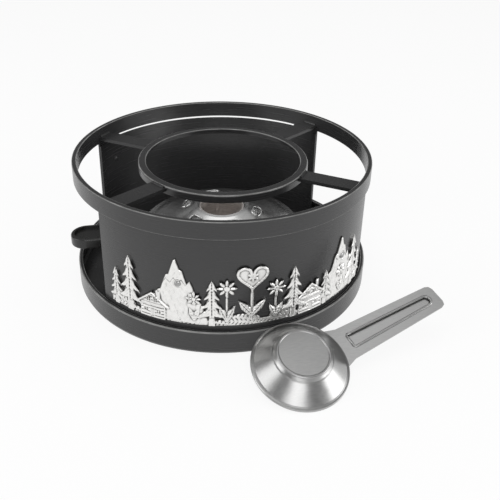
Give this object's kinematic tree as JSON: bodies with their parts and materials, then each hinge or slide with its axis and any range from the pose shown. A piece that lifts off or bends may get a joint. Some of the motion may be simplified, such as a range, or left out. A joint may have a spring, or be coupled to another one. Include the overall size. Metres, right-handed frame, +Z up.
{
  "type": "fondue burner stand",
  "caption": "Round fondue burner stand: dished tray, lift-off stand with curved panels, hoop and pot rest, paste burner with side handle and a loose snuffer.",
  "frame": {"origin": "centre of the base tray's underside, on the table", "axes": "+Z up through the fire hole side of the stand; front panel faces -Y, burner handle points to -X"},
  "size_m": [0.2611, 0.2944, 0.103],
  "materials": {
    "black_paint": "satin powder coat",
    "silver_relief": "fine cast relief, bright",
    "polished_steel": "polished",
    "brushed_steel": "brushed",
    "black_plastic": "satin"
  },
  "bodies": {
    "tray": {"base_tray": "black_paint"},
    "stand": {"top_hoop": "black_paint", "support_ring": "black_paint", "support_arm_rear_right": "black_paint", "support_arm_rear_left": "black_paint", "support_arm_front_left": "black_paint", "support_arm_front_right": "black_paint", "front_panel": "black_paint", "rear_panel": "black_paint", "arm_welds": "black_paint", "frieze_plate": "silver_relief", "frieze_rivets": "silver_relief", "rear_panel_rivets": "black_paint"},
    "burner": {"burner_bowl": "polished_steel", "fuel_cup": "brushed_steel", "handle_bracket": "brushed_steel", "handle_grip": "black_plastic", "handle_screws": "brushed_steel", "bracket_rivets": "brushed_steel"},
    "burner_top": {"burner_dome": "polished_steel", "flame_grid": "brushed_steel"},
    "snuffer_body": {"snuffer": "brushed_steel"}
  },
  "joints": [
    {"name": "stand_lift", "type": "slide", "parent": "tray", "child": "stand", "axis": [0, 0, 1], "range_m": [0, 0.1]},
    {"name": "burner_lift", "type": "slide", "parent": "tray", "child": "burner", "axis": [0, 0, 1], "range_m": [0, 0.036]},
    {"name": "dome_lift", "type": "slide", "parent": "burner", "child": "burner_top", "axis": [0, 0, 1], "range_m": [0, 0.015]},
    {"name": "snuffer_lift", "type": "slide", "parent": "tray", "child": "snuffer_body", "axis": [0.0885, -0.4921, 0.866], "range_m": [0, 0.1]}
  ]
}
